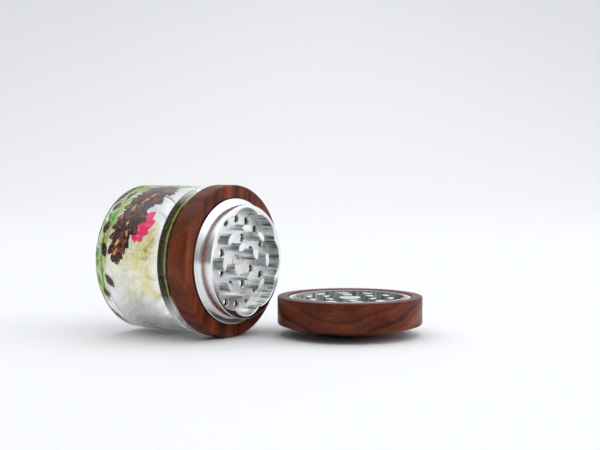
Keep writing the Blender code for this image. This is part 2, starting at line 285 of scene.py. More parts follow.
def axis_distance(g, centre, along):
    """In mm: the radius plus the depth along an axis, the place itself, the radius, and the depth.

    The sum changes both across flats and along walls, so it carries the turning marks.
    """
    local = g.mapped(location=tuple(-c / MM for c in centre), scale=IN_MM)
    x, y, z = g.split(local)[:3]
    a, b, depth = (y, z, x) if along == "X" else (x, y, z)
    radius = g.math("SQRT", g.math("MULTIPLY_ADD", a, a, g.math("MULTIPLY", b, b)))
    return g.math("ADD", radius, depth), local, radius, depth


def turned_aluminium(name, centre, along, roughness, shade):
    """Clear anodised aluminium with fine turning marks."""
    g = Graph(name)
    place, local = axis_distance(g, centre, along)[:2]
    marks = g.line_noise(place, 9.0, detail=3.0)
    passes = g.line_noise(place, 1.1, detail=2.0)
    cloud = g.noise(local, 0.11)
    smear = g.noise(g.mapped(scale=(0.12, 1.1, 1.1), source=local), 1.0)
    pale = shaded((0.90, 0.905, 0.91), shade)
    dull = shaded((0.74, 0.75, 0.765), shade)
    scored = shaded((0.55, 0.56, 0.58), shade)
    color = g.mix(g.math("MULTIPLY", marks, 0.14), g.ramp(cloud, [(0.3, dull), (0.7, pale)]), scored)
    rough = g.math("MULTIPLY_ADD", marks, 0.10, g.math("MULTIPLY_ADD", smear, 0.10, roughness - 0.10))
    g.set(Base_Color=color, Metallic=1.0, Roughness=rough)
    height = g.math("MULTIPLY_ADD", passes, 0.5, marks)
    g.set(Normal=g.bump(height, 0.5, 0.03 * MM))
    return g.material


def milled_aluminium(name, centre, along, heights, reach, streak, satin_share):
    """Turned outside and milled within reach of its axis, with painted reflection streaks up the walls and
    painted shade and light in the drop holes.

    heights are the underside, the floor and the tooth tips along the axis, and reach is a radius, in mm.
    """
    g = Graph(name)
    under, floor, tip = heights
    place, local, radius, depth = axis_distance(g, centre, along)
    inside = g.math("LESS_THAN", radius, reach)
    marks = g.line_noise(place, 9.0, detail=3.0)
    passes = g.line_noise(place, 1.1, detail=2.0)
    cloud = g.ramp(g.noise(local, 0.11), [(0.3, (0.84, 0.85, 0.86)), (0.7, (0.93, 0.935, 0.94))])
    color = g.mix(g.math("MULTIPLY", marks, 0.12), cloud, (0.60, 0.61, 0.63))

    over_floor = g.remap(depth, floor + 0.05, floor + 0.25)
    under_tip = g.remap(depth, tip - 0.05, tip - 0.3)
    wall = g.math("MULTIPLY", g.math("MULTIPLY", over_floor, under_tip), inside, clamp=True)
    # Painted reflections: dark and light streaks up the walls of the teeth and the pocket.
    streaks = g.noise(g.mapped(scale=streak, source=local), 1.0, detail=5.0, roughness=0.62)
    reflection_greys = [(0.34, (0.12, 0.13, 0.13)), (0.46, (0.46, 0.48, 0.475)), (0.60, (0.88, 0.90, 0.885))]
    color = g.mix(wall, color, g.ramp(streaks, reflection_greys))

    # Painted shade and light in the drop holes: a lit tan wall just under the floor, turning dark deeper
    # in.
    under_floor = g.remap(depth, floor - 0.05, floor - 0.25)
    over_back = g.math("GREATER_THAN", depth, under + 0.1)
    shaft = g.math("MULTIPLY", g.math("MULTIPLY", under_floor, over_back), inside, clamp=True)
    hole_shade_depth = g.math("MULTIPLY_ADD", g.noise(local, 0.5, detail=2.0), 1.2, depth)
    lit = g.remap(hole_shade_depth, floor - 0.95, floor - 0.65)
    color = g.mix(shaft, color, g.mix(lit, (0.004, 0.004, 0.003), (0.80, 0.73, 0.64)))

    satin = g.math("MULTIPLY", inside, g.math("LESS_THAN", depth, tip + 0.1))
    rough = g.math("MULTIPLY_ADD", satin, satin_share, g.math("MULTIPLY_ADD", marks, 0.08, 0.13))
    g.set(Base_Color=color, Metallic=1.0, Roughness=rough)
    height = g.math("MULTIPLY_ADD", passes, 0.5, marks)
    height = g.mix(wall, height, g.math("MULTIPLY", streaks, 2.0))
    g.set(Normal=g.bump(height, 0.4, 0.03 * MM))
    return g.material


def nickel(name, centre, along):
    """Nickel plate on a small magnet: bright, with a slightly pebbled surface."""
    g = Graph(name)
    place, local = axis_distance(g, centre, along)[:2]
    pebble = g.noise(local, 2.4)
    color = g.ramp(pebble, [(0.3, (0.60, 0.585, 0.55)), (0.7, (0.74, 0.725, 0.69))])
    g.set(Base_Color=color, Metallic=1.0, Roughness=g.remap(pebble, 0.3, 0.7, 0.16, 0.30))
    height = g.math("MULTIPLY_ADD", g.line_noise(place, 3.0, detail=4.0), 0.3, pebble)
    g.set(Normal=g.bump(height, 0.35, 0.04 * MM))
    return g.material


def clear_glass(name):
    """Pressed soda glass: clear, faintly green, with slow waves in its surface."""
    g = Graph(name)
    local = g.mapped(scale=IN_MM)
    waves = g.noise(g.mapped(scale=(0.018, 0.05, 0.05), source=local), 1.0, detail=2.0)
    haze = g.noise(local, 0.06, detail=4.0)
    color = g.ramp(haze, [(0.3, (0.975, 0.99, 0.98)), (0.7, (0.99, 0.995, 0.99))])
    g.set(Base_Color=color, Roughness=g.remap(haze, 0.35, 0.75, 0.0, 0.03))
    g.set(Transmission_Weight=1.0, IOR=1.5, Specular_IOR_Level=0.5)
    g.set(Normal=g.bump(waves, 0.35, 0.6 * MM))
    return g.material


def soft_plastic(name, light, dark, roughness, scale):
    """A moulded plastic or rubber with faint mottling and a fine matt texture."""
    g = Graph(name)
    local = g.mapped(scale=IN_MM)
    mottle = g.noise(local, scale, detail=4.0)
    grit = g.noise(local, 5.0, detail=2.0)
    g.set(Base_Color=g.ramp(mottle, [(0.3, dark), (0.7, light)]))
    g.set(Roughness=g.remap(grit, 0.3, 0.7, roughness - 0.06, roughness + 0.08))
    g.set(Subsurface_Weight=0.15, Subsurface_Scale=MM)
    g.set(Normal=g.bump(grit, 0.25, 0.04 * MM))
    return g.material


def jar_ink(name, deep, middle, light, scale, light_from):
    """Opaque fired ink in dabs and flecks of three colours, the lightest from light_from upwards."""
    g = Graph(name)
    local = g.mapped(scale=IN_MM)
    dabs = g.noise(local, scale, detail=5.0, roughness=0.62, distortion=0.9)
    flecks = g.noise(local, scale * 3.1, roughness=0.6)
    tone = g.math("MULTIPLY_ADD", flecks, 0.35, g.math("MULTIPLY", dabs, 0.75))
    stops = [(0.38, deep), (0.52, deep), (light_from - 0.04, middle), (light_from + 0.05, light)]
    g.set(Base_Color=g.ramp(tone, stops), Roughness=0.32, Coat_Weight=0.35, Coat_Roughness=0.12)
    g.set(Normal=g.bump(dabs, 0.2, 0.1 * MM))
    return g.material


def wash_ink(name, colors, strength, soft, cover, scale=0.12, clear=0.7):
    """A thin wash of ink that tints the light that comes through, fading out towards the edge of its patch.

    cover is the mottling's range from bare glass to full ink, and a low soft keeps the fade near the edge.
    """
    g = Graph(name)
    local = g.mapped(scale=IN_MM)
    edge = g.tree.nodes.new("ShaderNodeAttribute")
    edge.attribute_name = "ink_edge"
    mottle = g.noise(local, scale, detail=4.0, roughness=0.6, distortion=0.5)
    elsewhere = g.mapped(location=(31.0, 7.0, 3.0), source=local)
    tint = g.noise(elsewhere, scale * 0.9, detail=4.0, roughness=0.6, distortion=0.5)
    color = g.ramp(tint, list(zip((0.34, 0.50, 0.66), colors)))
    fade = g.math("POWER", edge.outputs["Fac"], soft)
    alpha = g.math("MULTIPLY", g.math("MULTIPLY", g.remap(mottle, *cover), fade), strength, clamp=True)
    g.set(Base_Color=color, Roughness=0.35, Alpha=alpha)
    g.set(Transmission_Weight=clear, IOR=1.01, Specular_IOR_Level=0.1)
    return g.material


def studio_paper(name):
    """The seamless paper of the backdrop, with a barely visible tooth."""
    g = Graph(name)
    tooth = g.noise(g.point, 900.0, detail=2.0)
    g.set(Base_Color=g.ramp(tooth, [(0.3, (0.84, 0.842, 0.846)), (0.7, (0.86, 0.862, 0.866))]))
    g.set(Roughness=0.85, Specular_IOR_Level=0.1)
    return g.material


# ---- shape helpers


def polar(radius, degrees):
    angle = radians(degrees)
    return radius * cos(angle), radius * sin(angle)


def rounded(height, radius, bend, start, end, steps=6):
    """Profile points (height, radius) on an arc: angle 0 is outwards, 90 is upwards."""
    points = []
    for step in range(steps + 1):
        angle = radians(start + (end - start) * step / steps)
        points.append((height + bend * sin(angle), radius + bend * cos(angle)))
    return points


def object_from(name, bm):
    mesh = bpy.data.meshes.new(name)
    bm.to_mesh(mesh)
    bm.free()
    mesh.shade_smooth()
    piece = bpy.data.objects.new(name, mesh)
    bpy.context.scene.collection.objects.link(piece)
    return piece


def piece_from(name, bm, place):
    """A solid whose own coordinates are the scene's, so that its grain and marks stay put on it."""
    bmesh.ops.remove_doubles(bm, verts=bm.verts, dist=WELD)
    bmesh.ops.transform(bm, matrix=place, verts=bm.verts)
    bmesh.ops.recalc_face_normals(bm, faces=bm.faces)
    piece = object_from(name, bm)
    piece.data.set_sharp_from_angle(angle=radians(SHARP))
    return piece


def turned_mesh(profile, closed, segments):
    """A profile of (height, radius) points turned about Z. An open profile starts and ends on the axis."""
    bm = bmesh.new()
    count = len(profile)
    rings = []
    for segment in range(segments):
        angle = 2 * pi * segment / segments
        rings.append([bm.verts.new((r * cos(angle), r * sin(angle), h)) for h, r in profile])
    for segment in range(segments):
        here = rings[segment]
        after = rings[(segment + 1) % segments]
        for i in range(count if closed else count - 1):
            j = (i + 1) % count
            corners = [here[i], here[j], after[j], after[i]]
            if profile[i][1] == 0:
                corners.remove(after[i])
            if profile[j][1] == 0:
                corners.remove(after[j])
            if len(corners) > 2:
                bm.faces.new(corners)
    return bm


def turned(name, profile, place, closed=False, segments=FINE):
    return piece_from(name, turned_mesh(profile, closed, segments), place)


def tooth_outline(inner, outer, half_length, degrees, inset=0.0):
    """A milled tooth seen from above: walls along two circles, drawn in to a blunt point at each end."""
    steps = 9
    full = 0.35  # the share of the half length that keeps its width
    pinch = 0.88  # how nearly the walls meet at the ends
    middle = (inner + outer) / 2
    half_angle = (half_length - inset) / middle * 180 / pi
    points = []
    for edge, order in ((outer - inset, 1), (inner + inset, -1)):
        for step in range(-steps, steps + 1):
            along = order * step / steps
            narrowing = max(0.0, abs(along) - full) / (1 - full)
            radius = edge + (middle - edge) * pinch * narrowing**1.5
            points.append(polar(radius, degrees + along * half_angle))
    return points


def bridge(bm, lower, upper, closed=True):
    """Faces between two rows of vertices."""
    count = len(lower)
    for i in range(count if closed else count - 1):
        j = (i + 1) % count
        bm.faces.new((lower[i], lower[j], upper[j], upper[i]))


def add_stack(bm, layers):
    """A closed solid through outlines at rising heights, all with the same number of points."""
    loops = [[bm.verts.new((x, y, height)) for x, y in outline] for height, outline in layers]
    bm.faces.new(loops[0][::-1])
    bm.faces.new(loops[-1])
    for lower, upper in zip(loops, loops[1:]):
        bridge(bm, lower, upper)


def teeth_mesh(rings, low, high):
    """Teeth with a fine deburred edge round each tip."""
    bm = bmesh.new()
    burr = 0.12 * MM
    for count, inner, outer, half_length, first in rings:
        for index in range(count):
            degrees = first + 360.0 * index / count
            wall = tooth_outline(inner, outer, half_length, degrees)
            tip = tooth_outline(inner, outer, half_length, degrees, inset=burr)
            add_stack(bm, [(low, wall), (high - burr, wall), (high, tip)])
    return bm


def carved(piece, steps):
    """Booleans other shapes into or out of a piece, one after another, and applies them."""
    for operation, tool in steps:
        modifier = piece.modifiers.new(operation, "BOOLEAN")
        modifier.operation = operation
        modifier.solver = "EXACT"
        modifier.object = tool
    graph = bpy.context.evaluated_depsgraph_get()
    mesh = bpy.data.meshes.new_from_object(piece.evaluated_get(graph))
    piece.modifiers.clear()
    piece.data = mesh
    mesh.name = piece.name
    mesh.shade_smooth()
    mesh.set_sharp_from_angle(angle=radians(SHARP))
    for _, tool in steps:
        bpy.data.objects.remove(tool)


def finished(piece, body, slot, material, *nodes):
    """Gives a piece its material and its body, and hides the CAD nodes that it stands for. The slot is not
    used.
    """
    piece.data.materials.clear()
    piece.data.materials.append(material)
    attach(piece, body)
    if nodes:
        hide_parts(*nodes)


def thread_ridge(name, root, crest, low):
    """A right-hand helical ridge with a rounded crest, tapering out at both ends."""
    around = 96
    taper = around / 8
    steps = round(THREAD_TURNS * around)
    bm = bmesh.new()
    sections = []
    for step in range(steps + 1):
        angle = 2 * pi * step / around
        height = low + THREAD_PITCH * step / around
        full = min(1.0, 0.12 + min(step, steps - step) / taper)
        top = root + (crest - root) * full
        middle = root + (top - root) * 0.75
        # radius, and the place in mm across the ridge
        outline = [(root, -0.8), (middle, -0.5), (top, -0.2), (top, 0.2), (middle, 0.5), (root, 0.8)]
        places = [(r * cos(angle), r * sin(angle), height + across * MM) for r, across in outline]
        sections.append([bm.verts.new(place) for place in places])
    for here, after in zip(sections, sections[1:]):
        bridge(bm, here, after)
    bm.faces.new(sections[0])
    bm.faces.new(sections[-1][::-1])
    return piece_from(name, bm, ALONG_JAR)


# ---- collar and plate


def make_collar():
    bore = FLANGE_RADIUS + PRESS_GAP
    front = 0.9 * MM  # the edges' roundings and the bore's chamfer
    back = 0.6 * MM
    inner = 0.25 * MM
    profile = [(COLLAR_BACK + inner, bore), (COLLAR_BACK, bore + inner)]
    profile += rounded(COLLAR_BACK + back, COLLAR_RADIUS - back, back, -90, 0)
    profile += rounded(-front, COLLAR_RADIUS - front, front, 0, 90)
    profile += [(0.0, bore + inner), (-inner, bore)]
    ring = turned("walnut_collar", profile, ALONG_JAR, closed=True)
    look = walnut("walnut_collar", heart=(64.0, -30.0, 0.0), tilt=(14, -16, 24), shade=0.92)
    finished(ring, "collar", "collar_walnut", look, "collar_ring")


def pocket_outline(grow=0.0):
    """The pocket's scalloped wall: round lobes that meet in blunt points."""
    steps = 24 * POCKET_LOBES
    points = []
    for step in range(steps):
        degrees = 360.0 * step / steps
        swell = abs(cos(radians(degrees * POCKET_LOBES / 2))) ** 0.7
        points.append(polar(POCKET_NARROW + grow + (POCKET_WIDE - POCKET_NARROW) * swell, degrees))
    return points


def circle(x, y, radius, sides):
    return [(x + dx, y + dy) for dx, dy in (polar(radius, 360 * side / sides) for side in range(sides))]


def add_hole(bm, x, y, radius, low, sides=32):
    """A cutter for a hole down from the pocket's floor, with a chamfered mouth."""
    straight = circle(x, y, radius, sides)
    flared = circle(x, y, radius + 2 * FLOOR_CHAMFER, sides)
    layers = [(low, straight), (FLOOR_TOP - FLOOR_CHAMFER, straight), (FLOOR_TOP + FLOOR_CHAMFER, flared)]
    add_stack(bm, layers)


def pocket_cutter():
    past = 0.6 * MM
    bm = bmesh.new()
    straight = pocket_outline()
    flared = pocket_outline(FLOOR_CHAMFER + past)
    add_stack(bm, [(FLOOR_TOP, straight), (NECK_TOP - FLOOR_CHAMFER, straight), (NECK_TOP + past, flared)])
    return piece_from("plate_pocket", bm, ALONG_JAR)


def hole_cutter():
    bm = bmesh.new()
    for count, ring_radius, radius, first in PLATE_HOLES:
        for index in range(count):
            x, y = polar(ring_radius, first + 360.0 * index / count)
            add_hole(bm, x, y, radius, SEAL_SEAT - MM)
    add_hole(bm, 0.0, 0.0, PLATE_MAGNET_RADIUS + MAGNET_GAP, PLATE_MAGNET_SEAT - MAGNET_PLAY, SMALL)
    return piece_from("plate_holes", bm, ALONG_JAR)


def make_plate():
    edge = 0.35 * MM
    fillet = 0.4 * MM
    tooth_root = FLOOR_TOP - 0.5 * MM
    profile = [(SEAL_SEAT, 0.0), (SEAL_SEAT, FLANGE_RADIUS)]
    profile += rounded(FLANGE_TOP - edge, FLANGE_RADIUS - edge, edge, 0, 90, 4)
    profile += rounded(FLANGE_TOP + fillet, NECK_RADIUS + fillet, fillet, 270, 180, 4)
    profile += rounded(NECK_TOP - edge, NECK_RADIUS - edge, edge, 0, 90, 4)
    profile += [(NECK_TOP, 0.0)]
    plate = turned("toothed_plate", profile, ALONG_JAR)
    pocket = pocket_cutter()
    teeth = piece_from("plate_teeth", teeth_mesh(PLATE_TEETH, tooth_root, TOOTH_TIP), ALONG_JAR)
    carved(plate, [("DIFFERENCE", pocket), ("UNION", teeth), ("DIFFERENCE", hole_cutter())])
    look = milled_aluminium(
        "plate_aluminium",
        COLLAR_CENTRE,
        "X",
        heights=(SEAL_SEAT / MM, FLOOR_TOP / MM, TOOTH_TIP / MM),
        reach=POCKET_WIDE / MM + 0.5,
        streak=(0.05, 0.55, 0.55),
        satin_share=0.22,
    )
    finished(plate, "collar", "plate_aluminium", look, "grinder_plate")


def make_thread_ring():
    edge = 0.4 * MM
    profile = [(THREAD_RING_END, THREAD_BORE + edge), (THREAD_RING_END, FLANGE_RADIUS - edge)]
    profile += [(THREAD_RING_END + edge, FLANGE_RADIUS), (THREAD_RING_FRONT, FLANGE_RADIUS)]
    profile += [(THREAD_RING_FRONT, THREAD_BORE), (THREAD_RING_END + edge, THREAD_BORE)]
    ring = turned("threaded_insert", profile, ALONG_JAR, closed=True)
    crest = JAR_NECK_RADIUS + THREAD_CLEARANCE
    ridge = thread_ridge("insert_thread", THREAD_BORE + THREAD_SINK, crest, THREAD_START)
    carved(ring, [("UNION", ridge)])
    look = turned_aluminium("thread_ring_aluminium", COLLAR_CENTRE, "X", roughness=0.35, shade=0.55)
    finished(ring, "collar", "thread_ring_aluminium", look, "thread_ring")


def disc_profile(low, high, radius):
    """A magnet: a flat disc with a rounded top edge."""
    edge = rounded(high - MAGNET_EDGE, radius - MAGNET_EDGE, MAGNET_EDGE, 0, 90, 4)
    return [(low, 0.0), (low, radius)] + edge + [(high, 0.0)]


def washer_profile(low, high, inner, outer, bend, steps):
    """A flat ring with all four edges rounded."""
    profile = rounded(low + bend, inner + bend, bend, 180, 270, steps)
    profile += rounded(low + bend, outer - bend, bend, -90, 0, steps)
    profile += rounded(high - bend, outer - bend, bend, 0, 90, steps)
    return profile + rounded(high - bend, inner + bend, bend, 90, 180, steps)


def make_plate_magnet():
    profile = disc_profile(PLATE_MAGNET_SEAT, FLOOR_TOP, PLATE_MAGNET_RADIUS)
    magnet = turned("plate_magnet_disc", profile, ALONG_JAR, segments=SMALL)
    look = nickel("plate_magnet_nickel", COLLAR_CENTRE, "X")
    finished(magnet, "collar", "plate_magnet_nickel", look, "plate_magnet")


# ---- jar and seal


def make_seal():
    low = SEAL_LOW.x - FACE
    high = SEAL_HIGH.x - FACE
    outer = half_width(SEAL_LOW, SEAL_HIGH, 2)
    inner = JAR_MOUTH_RADIUS + 0.4 * MM
    profile = washer_profile(low, high, inner, outer, bend=0.3 * MM, steps=4)
    seal = turned("silicone_seal", profile, ALONG_JAR, closed=True)
    look = soft_plastic("seal_silicone", (0.80, 0.81, 0.79), (0.68, 0.69, 0.67), roughness=0.42, scale=0.2)
    finished(seal, "seal", "seal_silicone", look, "jar_seal")


def make_jar():
    wall = JAR_RADIUS - JAR_WALL
    rim = 0.7 * MM
    neck_fillet = 0.8 * MM
    mouth_bend = 1.2 * MM
    inner = 3.5 * MM  # the rounding inside, at the shoulder and at the floor
    punt = 27.5 * MM  # the raised middle of the underside
    punt_rise = 0.8 * MM
    floor = JAR_BASE + 4.0 * MM
    ceiling = JAR_SHOULDER - JAR_WALL
    profile = [(JAR_BASE + punt_rise, 0.0), (JAR_BASE + punt_rise, punt - 1.5 * MM)]
    profile += [(JAR_BASE + 0.2 * MM, punt - 0.3 * MM), (JAR_BASE, punt + 0.4 * MM)]
    profile += rounded(JAR_BASE + JAR_BASE_BEND, JAR_RADIUS - JAR_BASE_BEND, JAR_BASE_BEND, -90, 0, 10)
    profile += rounded(*SHOULDER_CENTRE, JAR_SHOULDER_BEND, 0, 90, 12)
    profile += rounded(JAR_SHOULDER + neck_fillet, JAR_NECK_RADIUS + neck_fillet, neck_fillet, 270, 180, 5)
    profile += rounded(JAR_RIM - rim, JAR_NECK_RADIUS - rim, rim, 0, 90, 5)
    profile += rounded(JAR_RIM - rim, JAR_MOUTH_RADIUS + rim, rim, 90, 180, 5)
    profile += rounded(ceiling + mouth_bend, JAR_MOUTH_RADIUS + mouth_bend, mouth_bend, 180, 270, 6)
    profile += rounded(ceiling - inner, wall - inner, inner, 90, 0, 10)
    profile += rounded(floor + inner, wall - inner, inner, 0, -90, 10)
    profile += [(floor, 0.0)]
    jar = turned("clear_jar", profile, ALONG_JAR)
    low = THREAD_START - THREAD_PITCH / 2
    crest = THREAD_BORE - THREAD_CLEARANCE
    ridge = thread_ridge("jar_thread", JAR_NECK_RADIUS - THREAD_SINK, crest, low)
    carved(jar, [("UNION", ridge)])
    finished(jar, "jar", "jar_glass", clear_glass("jar_glass"), "glass_jar")


# ---- the print on the jar, with painted light, reflection and shadow on its glass


def on_jar(along, arc, lift):
    """A point on the jar: along from the collar's face, and by a length of arc up from its -Y side."""
    radius = JAR_RADIUS + lift
    angle = arc / JAR_RADIUS
    corner_start = JAR_BASE + JAR_BASE_BEND
    if along < corner_start:
        corner = min((corner_start - along) / JAR_BASE_BEND, 1.3)
        along = corner_start - (JAR_BASE_BEND + lift) * sin(corner)
        radius += (JAR_BASE_BEND + lift) * (cos(corner) - 1)
    return COLLAR_CENTRE + Vector((along, -radius * cos(angle), radius * sin(angle)))


def add_patch(bm, layer, outline, lift, centre):
    """A patch on the jar, star-shaped about its centre, its outline in (along, length of arc)."""
    rings = 6
    middle = bm.verts.new(on_jar(*centre, lift))
    middle[layer] = 1.0
    loops = []
    for ring in range(1, rings + 1):
        share = ring / rings
        loop = []
        for point in outline:
            along, arc = (start + (end - start) * share for start, end in zip(centre, point))
            vert = bm.verts.new(on_jar(along, arc, lift))
            vert[layer] = 1.0 - share
            loop.append(vert)
        loops.append(loop)
    count = len(outline)
    for i in range(count):
        j = (i + 1) % count
        bm.faces.new((middle, loops[0][i], loops[0][j]))
        for inner, outer in zip(loops, loops[1:]):
            bm.faces.new((inner[i], outer[i], outer[j], inner[j]))


def turned_about(centre, x, y, turn):
    return centre[0] + x * cos(turn) - y * sin(turn), centre[1] + x * sin(turn) + y * cos(turn)


def leaf_outline(centre, length, width, turn, wobble=0.06, teeth=0, seed=0):
    """A leaf with a point at both ends and an uneven or toothed edge."""
    points = 56
    outline = []
    for index in range(points):
        t = index / points
        side = 1 if t < 0.5 else -1
        share = 2 * t if t < 0.5 else 2 - 2 * t
        across = side * width / 2 * sin(pi * share) ** 0.8 * (1.12 - 0.35 * share)
        jag = 1 + wobble * noise.noise((share * 5.0, side * 3.0, seed * 7.3))
        if teeth:
            jag += 0.10 * ((share * teeth) % 1.0 - 0.5)
        outline.append(turned_about(centre, (share - 0.5) * length, across * jag, turn))
    return outline


def blot_outline(centre, length, width, turn, rough, seed, beat=1.6):
    """A rounded blot with a wandering edge."""
    points = 64
    outline = []
    for index in range(points):
        angle = 2 * pi * index / points
        swell = 1 + rough * noise.noise((cos(angle) * beat, sin(angle) * beat, seed * 5.1))
        x = cos(angle) * length / 2 * swell
        y = sin(angle) * width / 2 * swell
        outline.append(turned_about(centre, x, y, turn))
    return outline


def print_piece(name, shapes, material, lift):
    """One printed colour: patches of ink lift mm off the glass, each a little above the one before."""
    step = 0.002
    bm = bmesh.new()
    layer = bm.verts.layers.float.new("ink_edge")
    for index, (outline, centre) in enumerate(shapes):
        add_patch(bm, layer, outline, (lift + index * step) * MM, centre)
    finished(object_from(name, bm), "jar", "jar_glass", material)


def at(along_mm, around_degrees):
    """A place in the print: along from the collar's face, and a length of arc."""
    return along_mm * MM, JAR_RADIUS * radians(around_degrees)


def blots_at(places, seed, rough=0.3, beat=1.6):
    """Blots at (place along, place around, length, width), in mm, degrees, mm, mm."""
    blots = []
    for index, (along, around, length, width) in enumerate(places):
        centre = at(along, around)
        outline = blot_outline(centre, length * MM, width * MM, 0.0, rough, seed + index, beat)
        blots.append((outline, centre))
    return blots


def wash_piece(name, blots, colors, strength, lift, cover=(0.30, 0.56), soft=0.55, clear=0.7):
    print_piece(name, blots, wash_ink(name, colors, strength, soft, cover, clear=clear), lift)


def make_washes():
    """A milky ground, dense on the underside, and colours over it. The milky ground is partly the print's
    pale ground and partly painted light of the table seen through the glass.
    """
    milk = ((0.93, 0.91, 0.84), (0.95, 0.94, 0.91), (0.90, 0.88, 0.78))
    full = (0.0, 0.3)
    # The milk: a pale print ground, and painted light that brightens the glass where it shows the table.
    blots = blots_at([(-39, -8, 43, 104)], seed=3, rough=0.03)
    wash_piece("print_and_painted_light_milk", blots, milk, 0.60, lift=0.005, cover=full, soft=0.22, clear=0.55)
    # The foot: painted light, an opaque white patch that brightens the jar's underside where the lit table
    # would show through.
    blots = blots_at([(-39, -66, 39, 56)], seed=15)
    wash_piece("painted_light_foot", blots, milk, 0.85, lift=0.008, cover=full, clear=0.0)
    cream = ((0.92, 0.80, 0.28), (0.97, 0.93, 0.60), (0.86, 0.76, 0.20))
    blots = blots_at([(-37, 0, 36, 46), (-30, 20, 22, 26)], seed=16)
    wash_piece("print_wash_cream", blots, cream, 0.90, lift=0.01, cover=(0.20, 0.50))
    straw = ((0.84, 0.70, 0.12), (0.92, 0.84, 0.28), (0.70, 0.54, 0.08))
    blots = blots_at([(-26, 10, 18, 36), (-24, -18, 15, 20)], seed=16)
    wash_piece("print_wash_straw", blots, straw, 0.75, lift=0.02, cover=(0.32, 0.60))
    sage = ((0.42, 0.56, 0.20), (0.58, 0.68, 0.32), (0.30, 0.44, 0.12))
    blots = blots_at([(-40, 74, 36, 26), (-52, 58, 16, 30)], seed=15)
    wash_piece("print_wash_sage", blots, sage, 0.90, lift=0.03)
    green = ((0.12, 0.46, 0.10), (0.46, 0.58, 0.14), (0.66, 0.56, 0.18))
    places = [(-53, 38, 16, 28), (-55, 16, 13, 30), (-56, -4, 11, 26), (-57, -24, 9, 16)]
    wash_piece("print_wash_green", blots_at(places, seed=16), green, 1.0, lift=0.04)


def make_grass(draw):
    leaves = []
    for index in range(15):
        centre = at(draw.uniform(-58.6, -52.5), -28 + index * 7.2)
        length = draw.uniform(5.0, 8.0) * MM
        turn = radians(draw.uniform(60, 120))
        leaves.append((leaf_outline(centre, length, length * 0.30, turn, seed=index), centre))
    colors = ((0.03, 0.22, 0.03), (0.14, 0.40, 0.06), (0.42, 0.52, 0.16))
    ink = wash_ink("print_green", colors, strength=1.0, soft=0.35, cover=(0.18, 0.42), scale=0.5)
    print_piece("print_grass", leaves, ink, 0.05)


# The dark heads of the picture: (place along, place around, length, width) in mm, degrees, mm, mm
HEADS = [(-44.4, 8, 9, 12), (-43.4, 18, 12, 12), (-41.4, 28, 15, 12), (-39.8, 38, 17, 12)]
HEADS += [(-39.4, 48, 18, 12), (-38.0, 57, 20, 10), (-35.2, 65, 21, 9), (-36.0, 72, 18, 9)]


def make_dark_ground():
    colors = ((0.010, 0.004, 0.004), (0.035, 0.008, 0.006), (0.22, 0.05, 0.02))
    ink = jar_ink("print_dark_ground", *colors, 0.40, 0.64)
    print_piece("print_dark_ground", blots_at(HEADS, seed=60, rough=0.35, beat=2.4), ink, 0.09)


def make_dark_leaves(draw):
    leaves = []
    for index, (along, around, length, _) in enumerate(HEADS):
        for side in (-1, 0, 1):
            across = side * length * 0.33
            centre = at(along + across + draw.uniform(-0.8, 0.8), around + draw.uniform(-4, 4))
            size = draw.uniform(7.5, 11.0) * MM
            turn = radians(80 + side * 50 + draw.uniform(-18, 18))
            outline = leaf_outline(centre, size, size * 0.52, turn, 0.12, teeth=6, seed=index * 3 + side)
            leaves.append((outline, centre))
    colors = ((0.012, 0.004, 0.003), (0.060, 0.014, 0.008), (0.50, 0.13, 0.04))
    print_piece("print_dark_leaves", leaves, jar_ink("print_dark_leaves", *colors, 0.42, 0.62), 0.11)


def leaves_at(places, slimness, wobble):
    """Leaves at (place along, place around, length, direction), in mm, degrees, mm, degrees."""
    leaves = []
    for along, around, length, direction in places:
        centre = at(along, around)
        outline = leaf_outline(centre, length * MM, length * slimness * MM, radians(direction), wobble)
        leaves.append((outline, centre))
    return leaves


def make_embers(draw):
    """Small orange leaves among the dark ones."""
    spots = [(-45.4, 8, 5.6), (-45.0, 15, 5.5), (-41.5, 31, 4.0), (-42.5, 45, 4.6)]
    spots += [(-38.2, 54, 5.0), (-36.6, 61, 4.4), (-40.0, 22, 3.6), (-47.0, 36, 3.4)]
    leaves = leaves_at([(*spot, draw.uniform(50, 110)) for spot in spots], 0.40, 0.1)
    colors = ((0.40, 0.05, 0.02), (0.74, 0.22, 0.05), (0.86, 0.56, 0.26))
    print_piece("print_ember_leaves", leaves, jar_ink("print_ember", *colors, 0.6, 0.58), 0.18)


def make_bloom():
    """Five petals that fan out of one heart: (direction, length) in degrees and mm."""
    fan = [(-82, 8.5), (-48, 10.0), (-12, 11.0), (24, 14.0), (52, 15.5)]
    heart = at(-34.6, 26)
    petals = []
    for index, (direction, length) in enumerate(fan):
        turn = radians(direction)
        size = length * MM
        centre = turned_about(heart, size * 0.36, 0.0, turn)
        petals.append((leaf_outline(centre, size, size * 0.60, turn, 0.08, seed=index + 20), centre))
    colors = ((0.86, 0.012, 0.11), (0.98, 0.050, 0.21), (1.00, 0.45, 0.56))
    print_piece("print_bloom", petals, jar_ink("print_bloom", *colors, 0.26, 0.66), 0.08)


def make_seed_pods():
    places = [(-54.8, 27, 7.5, 80), (-53.0, 9, 8.0, 105), (-50.3, -15, 8.5, 125)]
    places += [(-54.6, -25, 6.5, 115), (-54.5, 46, 6.5, 70), (-51.5, 61, 6.0, 60)]
    colors = ((0.010, 0.005, 0.006), (0.05, 0.010, 0.010), (0.66, 0.12, 0.04))
    ink = jar_ink("print_seeds", *colors, 0.55, 0.63)
    print_piece("print_seed_pods", leaves_at(places, 0.50, 0.05), ink, 0.21)


